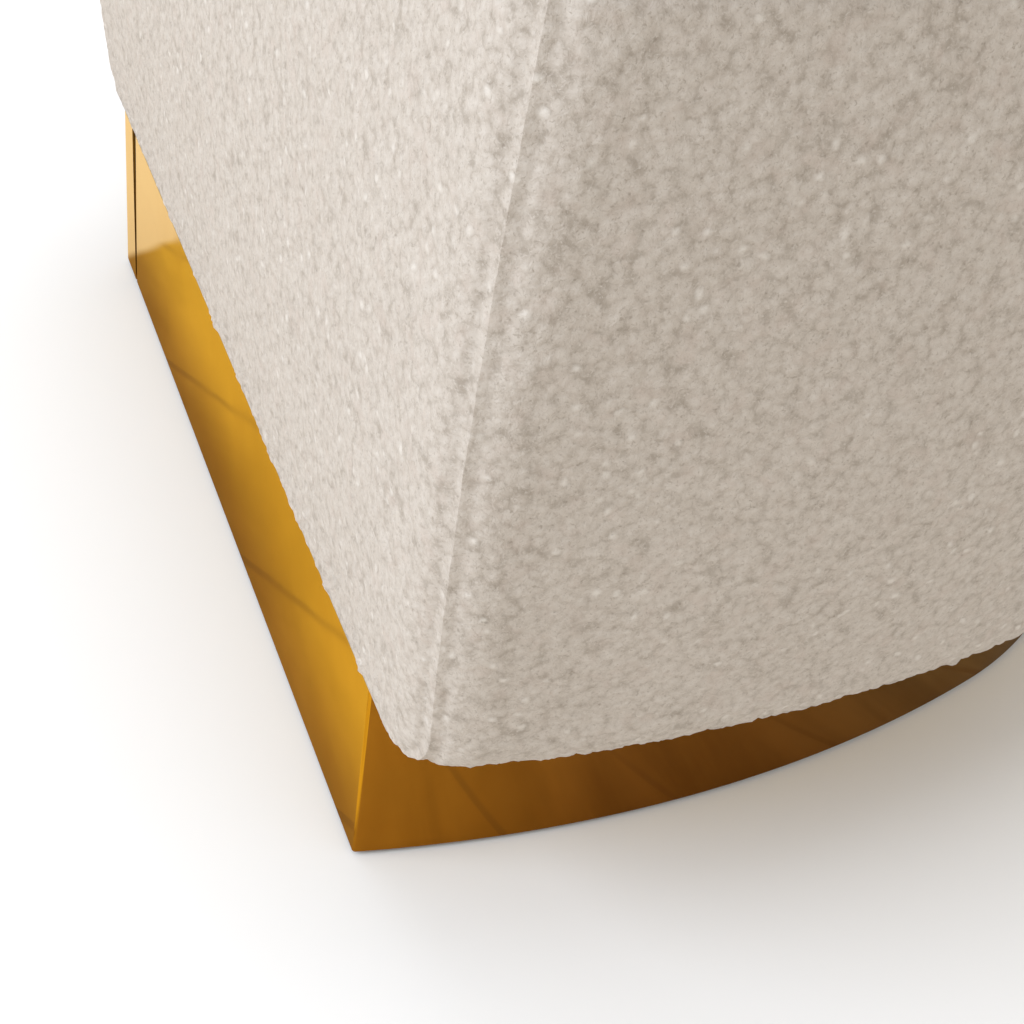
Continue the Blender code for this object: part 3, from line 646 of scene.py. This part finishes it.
def body_covers():
    """The covers of the flat back and of the sides and front, sewn together at the back corners."""
    plan, rows = Plan(CLOTH_STEP, CORNER_STEP), body_rows(CLOTH_STEP)
    loudness = []
    for i, row in enumerate(rows):
        low = 1 - fade_in(row[3], UNDER_Z - UNDER_REACH, UNDER_Z)
        turned_in = row[3] > BODY_TOP - FOLD_SKIN
        loud = FOLD_LOUDNESS if turned_in else 1 + UNDER_LOUDNESS * low
        loudness.append(fade_in(i, *HEM_ROWS) * loud)
    folds = {i for i, row in enumerate(rows) if row[3] > BODY_TOP - PRESS_REACH}
    seams = (plan.seam, plan.count - plan.seam)
    grid = cover_grid(plan, rows, seams, loudness, folds)
    grid = np.concatenate([grid, grid[-1:] - np.array((0, 0, TURN_IN))])
    round_side = grid[:, plan.seam : plan.count - plan.seam + 1]
    flat_back = np.concatenate([grid[:, plan.count - plan.seam :], grid[:, : plan.seam + 1]], axis=1)
    for name, part, node, pad in (
        ("side_cover_boucle", round_side, "curved_cover", "curved_padding"),
        ("back_cover_boucle", flat_back, "back_cover", "back_padding"),
    ):
        faces = strip_faces(*part.shape[:2], False)
        piece = new_piece(name, part.reshape(-1, 3), faces, BOUCLE, "base", "boucle", [node])
        middle = part[len(part) // 2]
        width = round(float(np.linalg.norm(np.diff(middle, axis=0), axis=1).sum()), 3)


def inner_points(edge, step):
    """Points of a square grid inside a closed edge, and each one's distance from that edge."""
    low, high = edge.min(axis=0), edge.max(axis=0)
    xs, ys = evenly(low[0], high[0], step), evenly(low[1], high[1], step)
    inside = []
    for y in ys:
        crossings = []
        for (x0, y0), (x1, y1) in zip(edge, np.roll(edge, -1, axis=0)):
            if (y0 > y) != (y1 > y):
                crossings.append(x0 + (x1 - x0) * (y - y0) / (y1 - y0))
        if len(crossings) == 2:
            inside += [(x, y) for x in xs if min(crossings) < x < max(crossings)]
    inside = np.array(inside)
    distances = np.min([np.linalg.norm(inside - point, axis=1) for point in edge], axis=0)
    kept = distances > step * EDGE_GAP
    return inside[kept], distances[kept]


def filled(ring, step, height):
    """Points and triangles inside a closed ring. height gives z from x, y and the distance to it."""
    inside, distances = inner_points(ring[:, :2], step)
    points = [(x, y, height(x, y, distance)) for (x, y), distance in zip(inside, distances)]
    flat = [Vector(point[:2]) for point in ring] + [Vector(point[:2]) for point in points]
    border = [(i, (i + 1) % len(ring)) for i in range(len(ring))]
    triangles = geometry.delaunay_2d_cdt(flat, border, [], 1, 1e-7)[2]
    return points, [tuple(triangle) for triangle in triangles if len(triangle) == 3]


def blown_seat(ring):
    """How far a simulated panel, held at the seat's edge and blown up, lifts off it at x, y."""
    edge, foot = ring[::SEAT_STEP_RATIO], float(ring[0, 2])
    points, triangles = filled(edge, SEAT_STEP, lambda x, y, distance: foot)
    mesh = bpy.data.meshes.new("seat_panel")
    mesh.from_pydata([tuple(point) for point in [*edge, *points]], [], triangles)
    panel = bpy.data.objects.new("seat_panel", mesh)
    bpy.context.scene.collection.objects.link(panel)
    held = panel.vertex_groups.new(name="edge")
    held.add(list(range(len(edge))), 1.0, "ADD")
    cloth = panel.modifiers.new("blown up", "CLOTH")
    for key, value in SEAT_CLOTH.items():
        setattr(cloth.settings, key, value)
    cloth.settings.vertex_group_mass = held.name
    cloth.settings.effector_weights.gravity = 0
    cloth.collision_settings.use_collision = False
    cloth.point_cache.frame_start, cloth.point_cache.frame_end = 1, SEAT_FRAMES
    panel.modifiers.new("smoothed", "SUBSURF").levels = 1
    for step in range(1, SEAT_FRAMES + 1):
        bpy.context.scene.frame_set(step)
    blown = panel.evaluated_get(bpy.context.evaluated_depsgraph_get())
    shape = blown.to_mesh()
    corners = [point.co.copy() for point in shape.vertices]
    tree = BVHTree.FromPolygons(corners, [tuple(face.vertices) for face in shape.polygons])
    blown.to_mesh_clear()
    bpy.data.objects.remove(panel)
    bpy.data.meshes.remove(mesh)
    bpy.context.scene.frame_set(1)
    heights = [point.z - foot for point in corners]
    way = 1 if max(heights) > -min(heights) else -1

    def lift(x, y):
        hit = tree.ray_cast(Vector((x, y, ABOVE_ALL)), Vector((0, 0, -1)))[0]
        return 0.0 if hit is None else max(0.0, way * (hit.z - foot))

    return lift


def seat_height(x, y, distance, lift):
    """Height of the crowned seat, with its boucle and the seam round its edge."""
    z = LID_EDGE_TOP + SEAT_RISE * (1 - math.exp(-distance / SEAT_SPRING))
    if lift:
        z += SEAT_SWELL * math.tanh(lift(x, y) / SEAT_SWELL)
    near_seam = seam_relief(distance, x, y, z) if distance < SEAM_REACH else 0.0
    return z + nubs(x, y, z) + near_seam


def lid_cover():
    """The lid's cover: a band round the edge and a crowned seat, sewn together along the brow."""
    plan, rows = Plan(CLOTH_STEP, CORNER_STEP), lid_rows(CLOTH_STEP)
    loudness = [FOLD_LOUDNESS if row[3] < LID_FOOT + FOLD_SKIN else 1 for row in rows]
    folds = {i for i, row in enumerate(rows) if row[3] < LID_FOOT + PRESS_REACH}
    base = np.array([plan.loop(*row) for row in rows])
    heights = relief(base, (plan.seam, plan.count - plan.seam), loudness, folds)
    for i, row in enumerate(base):
        down = float(np.linalg.norm(row[0] - base[-1, 0]))
        if down < SEAM_REACH:
            heights[i] += [seam_relief(down, *point) for point in row]
    grid = base + grid_normals(base) * heights[:, :, None]
    lift = blown_seat(base[-1])
    seat, triangles = filled(base[-1], CLOTH_STEP, lambda *place: seat_height(*place, lift))
    grid = np.concatenate([grid[:1] + np.array((0, 0, TURN_IN)), grid])
    start = (len(grid) - 1) * plan.count
    faces = strip_faces(len(grid), plan.count, True)
    faces += [tuple(start + i for i in triangle) for triangle in triangles]
    points = np.concatenate([grid.reshape(-1, 3), np.array(seat)])
    piece = new_piece("lid_cover_boucle", points, faces, BOUCLE, "lid", "boucle", ["lid_cover"])


# Linings.

RIM_INNER = STEP_OUT - 0.012
RIM_INNER_BACK = -0.049
LID_LINING_INSET = 0.004
WELL_WALL = (0.0287, -0.0278, 0.0595)  # side, back and corner radius of the lining's face
WELL_FLOOR = tuple(value - 0.0003 for value in WELL_WALL)
LINING_CLOTH = 0.0025
LINING_STEP = 0.006
LINING_CORNER_STEP = 0.002
LID_LINING = (RIM_INNER - LID_LINING_INSET, RIM_INNER_BACK - LID_LINING_INSET, 0.020)
WELL_SLACK = 0.0004
WELL_EASE = 0.0006  # the wall's cloth eases this far back at its top, over the last WELL_LIP
WELL_LIP = 0.001
DUST_STEP = 0.007
DUST_COVER = (-BAND - 0.0003, -BAND - 0.0003, 0.002)
# A panel's unevenness: its rise, what is added to the noise, the noise's size and a place in
# it, and how far from the panel's edge it reaches its full height.
PUCKERED = (0.0005, 1, 0.05, 0, 0.02)
RUMPLED = (0.0006, 0, 0.06, 3, 0.03)
SLACK = (-0.00045, 1, 0.08, 5, 0.05)
TAB = 0.0022
TAB_STANDS_OFF = 0.0043
TAB_SECTION = ((-1, 0), (-0.98, 0.75), (-0.9, 1), (0, 0.9), (0.9, 1), (0.98, 0.75), (1, 0))
TAB_SECTION += ((0.98, -0.75), (0.9, -1), (0, -0.9), (-0.9, -1), (-0.98, -0.75))
TAB_BEND = 0.0046
TAB_WAVE = 0.0006
TAB_HIDDEN = (0.0215, 0.006)  # the hidden end's start and finish, in from the cover's face


def d_sheet(name, node, finish, body, slot, outline, edge, uneven, step=LINING_STEP, facing=1):
    """A D-shaped cloth panel over a board, turned over its edge and a little uneven in its flat."""
    rings = rounded_rings(node, *outline, edge, facing)
    rise, shift, size, seed, reach = uneven

    def height(x, y, distance):
        slack = noise.noise(Vector((x, y, seed)) / size) + shift
        return rings[-1][3] + rise * slack * fade_in(distance, 0, reach)

    plan = Plan(step, LINING_CORNER_STEP)
    grid = np.array([plan.loop(*ring) for ring in rings])
    points, triangles = filled(grid[-1], step, height)
    start = (len(grid) - 1) * plan.count
    faces = strip_faces(len(grid), plan.count, True)
    if facing < 0:
        faces = [face[::-1] for face in faces]
    faces += [tuple(start + i for i in triangle[::facing]) for triangle in triangles]
    points = np.concatenate([grid.reshape(-1, 3), np.array(points)])
    return new_piece(name, points, faces, finish, body, slot, [node])


def rounded_rings(node, side, back, corner, radius, facing):
    """Rings over a panel's edge, from its far face round to the face that shows."""
    low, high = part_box(node)[0].z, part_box(node)[1].z
    shown, hidden = (high, low) if facing > 0 else (low, high)
    rings = [(side, back, corner, hidden)]
    for turn in evenly(0, math.pi / 2, 0.4):
        drawn = radius * (1 - math.cos(turn))
        z = shown - facing * radius * (1 - math.sin(turn))
        rings.append((side - drawn, back - drawn, corner - drawn, z))
    return rings


def panels():
    """Cotton under the lid and on the well's floor, and black dust cloth under the body."""
    cloth = (LINING, "lid", "lining", LID_LINING, 0.0012, PUCKERED)
    under_lid = d_sheet("lid_lining_cotton", "lid_lining_panel", *cloth, facing=-1)
    cloth = (LINING, "base", "lining", WELL_FLOOR, 0.0010, RUMPLED)
    on_floor = d_sheet("well_floor_cotton", "well_floor_lining", *cloth)
    cloth = (DUST, "base", "dust_cloth", DUST_COVER, 0.0004, SLACK)
    dust = d_sheet("dust_cloth_sheet", "dust_cover", *cloth, step=DUST_STEP, facing=-1)


def well_wall():
    """Cotton round the storage well, slightly slack, folded over at its top."""
    foot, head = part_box("well_wall_lining")[0].z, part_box("well_wall_lining")[1].z
    rows = [(*WELL_WALL, z) for z in evenly(foot, head - WELL_LIP, LINING_STEP)]
    for out in (WELL_EASE, LINING_CLOTH):
        rows.append((*(value + out for value in WELL_WALL), head))
    plan = Plan(LINING_STEP, LINING_STEP, WELL_WALL[2])
    grid = np.array([plan.loop(*row) for row in rows])
    normals = grid_normals(grid)
    for i, row in enumerate(grid[:-2]):
        for j, point in enumerate(row):
            slack = noise.noise(Vector(point) / 0.07) + 0.5 * noise.noise(Vector(point) / 0.025)
            grid[i, j] += normals[i, j] * WELL_SLACK * (slack + 0.5)
    faces = [face[::-1] for face in strip_faces(len(grid), plan.count, True)]
    nodes = ["well_wall_lining"]
    wall = new_piece("well_wall_cotton", grid.reshape(-1, 3), faces, LINING, "base", "lining", nodes)


# Pull tab.


def pull_tab():
    """Folded webbing sewn in under the lid's front edge and turned down over the parting line."""
    low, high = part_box("pull_tab")
    head, tip = high.z - TAB / 2, low.z + TAB / 2
    path = [(OVERHANG - inside, head) for inside in TAB_HIDDEN]
    out = OVERHANG + TAB_STANDS_OFF
    for turn in evenly(0, math.pi / 2, 0.25):
        side = out - TAB_BEND * (1 - math.sin(turn))
        path.append((side, head - TAB_BEND * (1 - math.cos(turn))))
    top = path[-1][1]
    for share in evenly(0.1, 1, 0.1):
        path.append((out + TAB_WAVE * math.sin(3.1 * share), top * (1 - share) + tip * share))
    half = (high.x - low.x) / 2
    section = [(half * along, TAB / 2 * across) for along, across in TAB_SECTION]
    points = []
    for i, (side, z) in enumerate(path):
        before, after = path[max(i - 1, 0)], path[min(i + 1, len(path) - 1)]
        run = Vector((after[0] - before[0], after[1] - before[1])).normalized()
        for x, lift in section:
            points.append((x, BACK_Y - PLINTH_DEPTH - side + run.y * lift, z + run.x * lift))
    count = len(section)
    faces = []
    for i in range(len(path) - 1):
        for j in range(count):
            k = (j + 1) % count
            faces.append((i * count + j, i * count + k, (i + 1) * count + k, (i + 1) * count + j))
    faces.append(tuple(reversed(range(count))))
    faces.append(tuple((len(path) - 1) * count + j for j in range(count)))
    strap = new_piece("pull_tab_webbing", points, faces, STRAP, "lid", "lining", ["pull_tab"])
    shape = bmesh.new()
    shape.from_mesh(strap.data)
    bmesh.ops.recalc_face_normals(shape, faces=shape.faces)
    shape.to_mesh(strap.data)
    shape.free()


# Gold band.


def gold_band():
    """One strip of sheet metal bent round the plinth, open at a tapered upright joint."""
    plan = Plan(BAND_STEP, BEND_STEP, BEND_RADIUS)
    edge = BAND_EDGE
    section = [(0, BAND_FOOT + edge)]
    rows = evenly(BAND_FOOT + BAND_MARGIN, BAND_HEAD - BAND_MARGIN, BAND_ROW)
    section += [(0, z) for z in rows]
    section += [(0, BAND_HEAD - edge), (-edge, BAND_HEAD), (-BAND + edge, BAND_HEAD)]
    section += [(-BAND, BAND_HEAD - edge), (-BAND, BAND_FOOT + edge)]
    section += [(-BAND + edge, BAND_FOOT), (-edge, BAND_FOOT)]
    lines = []
    for offset, z in section:
        loop = plan.loop(offset, offset, BEND_RADIUS + offset, z)
        back_y = BACK_Y + offset
        share = (z - BAND_FOOT) / (BAND_HEAD - BAND_FOOT)
        half_gap = (BAND_JOINT_FOOT + (BAND_JOINT_HEAD - BAND_JOINT_FOOT) * share) / 2
        start, end = BAND_JOINT_X - JOINT_CLEAR, BAND_JOINT_X + JOINT_CLEAR
        after = [p for i, p in enumerate(loop[: plan.half]) if i > plan.back or p[0] > end]
        before = [p for p in loop[: plan.back] if p[0] < start]
        line = [(BAND_JOINT_X + half_gap, back_y, z)] + after + loop[plan.half :] + before
        lines.append(line + [(BAND_JOINT_X - half_gap, back_y, z)])
    columns = len(lines[0])
    faces = strip_faces(len(section), columns, False)
    last = (len(section) - 1) * columns
    faces += [(last + j, j, j + 1, last + j + 1) for j in range(columns - 1)]
    faces.append(tuple(i * columns for i in range(len(section))))
    faces.append(tuple(i * columns + columns - 1 for i in reversed(range(len(section)))))
    points = [point for line in lines for point in line]
    piece = new_piece("gold_band", points, faces, GOLD, "base", "gold", ["plinth_gold_band"])
    piece.data.set_sharp_from_angle(angle=BAND_CREASE)
    piece.modifiers.new("even_shine", "WEIGHTED_NORMAL").keep_sharp = True


body_covers()
lid_cover()
panels()
well_wall()
pull_tab()
gold_band()

for part in frame["record"]["subparts"]:
    mesh = frame["nodes"][part["node"]].data
    mesh.materials.clear()
    mesh.materials.append(SLOT_FINISHES[part["material_slot"]])


# Stage.

CAMERA_PLACE = (-0.6624, BACK_Y + 0.17161, 0.5906)
CAMERA_RIGHT = (-0.35429, -0.92693, 0.12377)
CAMERA_UP = (0.64043, -0.14405, 0.75441)
LENS = 61.5
FLOOR_REACH = 9.0


def camera():
    data = bpy.data.cameras.new("camera")
    data.lens = LENS
    data.clip_start = 0.01
    item = bpy.data.objects.new("camera", data)
    right, up = Vector(CAMERA_RIGHT).normalized(), Vector(CAMERA_UP).normalized()
    turn = Matrix((right, up, right.cross(up))).transposed()
    item.matrix_world = Matrix.Translation(CAMERA_PLACE) @ turn.to_4x4()
    bpy.context.scene.collection.objects.link(item)
    bpy.context.scene.camera = item


def floor():
    """A pale floor carrying a painted reflection: polished metal sees brown wood on it, with a pale
    strip beyond one end.
    """
    finish = Finish("studio_floor", roughness=0.7, specular_ior_level=0.1)
    # Glossy rays see brown wood painted into the floor, a painted reflection; the camera sees the floor
    # plain and pale.
    seen = finish.node("ShaderNodeLightPath", output="Is Glossy Ray")
    grain = finish.noise(0.05, 4, 0.6, 0.8, place=finish.stretched(0.25, 1.0, 1.0)).above(0.25, 0.75)
    x, y = finish.axis("X"), finish.axis("Y")
    warm = finish.blend(grain, (0.54, 0.335, 0.038), (0.72, 0.46, 0.055))
    amber = finish.blend(grain, (0.26, 0.135, 0.028), (0.38, 0.21, 0.045))
    shady = finish.blend(grain, (0.16, 0.080, 0.028), (0.24, 0.125, 0.048))
    cool = finish.blend(grain, (0.17, 0.14, 0.12), (0.30, 0.25, 0.20))
    # From behind the back forwards: warm, amber, a shaded brown, then cool; painted shade and colour in
    # the reflection, set by place.
    reflected_boards = finish.blend(y.above(BACK_Y - 0.44, BACK_Y - 0.16), cool, shady)
    reflected_boards = finish.blend(y.above(BACK_Y - 0.14, BACK_Y - 0.02), reflected_boards, amber)
    reflected_boards = finish.blend(y.above(BACK_Y, BACK_Y + 0.03), reflected_boards, warm)
    joint = ((x * 0.45 + y * 0.9) / 0.075).maths("FRACT").above(0.94, 0.97)
    reflected_boards = finish.blend(joint * 0.35, reflected_boards, (0.14, 0.07, 0.03))
    # A pale strip that only reflections see: painted reflection.
    reflected_pale_strip = (x + y * -0.35 + finish.noise(0.06) * 0.03).above(0.151, 0.161)
    reflected_boards = finish.blend(reflected_pale_strip, reflected_boards, (0.78, 0.62, 0.375))
    # Diffuse rays see the floor darker and warmer: painted shade and warm bounce on the ottoman's lower
    # faces.
    bounced = finish.node("ShaderNodeLightPath", output="Is Diffuse Ray")
    pale = finish.blend(bounced, (0.86, 0.855, 0.85), (0.80, 0.75, 0.69))
    finish.set("Base Color", finish.blend(seen, pale, reflected_boards))
    mesh = bpy.data.meshes.new("floor")
    corners = [(-FLOOR_REACH, -FLOOR_REACH), (FLOOR_REACH, -FLOOR_REACH), (FLOOR_REACH, FLOOR_REACH)]
    corners.append((-FLOOR_REACH, FLOOR_REACH))
    mesh.from_pydata([(x, y, 0) for x, y in corners], [], [(0, 1, 2, 3)])
    mesh.materials.append(finish.material)
    item = bpy.data.objects.new("floor", mesh)
    bpy.context.scene.collection.objects.link(item)


def softbox(name, place, aim, size, power, colour=(1, 1, 1)):
    data = bpy.data.lights.new(name, "AREA")
    data.shape, data.size, data.energy, data.color = "DISK", size, power, colour
    item = bpy.data.objects.new(name, data)
    item.location = place
    item.rotation_euler = (Vector(aim) - Vector(place)).to_track_quat("-Z", "Y").to_euler()
    item.visible_glossy = False
    bpy.context.scene.collection.objects.link(item)


def world():
    sky = bpy.data.worlds.new("studio")
    sky.use_nodes = True
    glow = sky.node_tree.nodes["Background"]
    glow.inputs["Color"].default_value = (1.0, 0.985, 0.955, 1)
    ray = sky.node_tree.nodes.new("ShaderNodeLightPath")
    strength = sky.node_tree.nodes.new("ShaderNodeMapRange")
    strength.inputs["To Min"].default_value = 0.88
    strength.inputs["To Max"].default_value = 0.62  # polished metal sees a dimmer room
    sky.node_tree.links.new(ray.outputs["Is Glossy Ray"], strength.inputs["Value"])
    sky.node_tree.links.new(strength.outputs["Result"], glow.inputs["Strength"])
    bpy.context.scene.world = sky


camera()
floor()
world()
softbox("window", (-0.1, 2.5, 1.7), (0, 0.1, 0.2), 1.8, 54, (0.80, 0.88, 1.0))
softbox("overhead", (0.3, -0.2, 2.6), (0, 0, 0.2), 2.2, 18)
bpy.context.scene.view_settings.view_transform = "Standard"
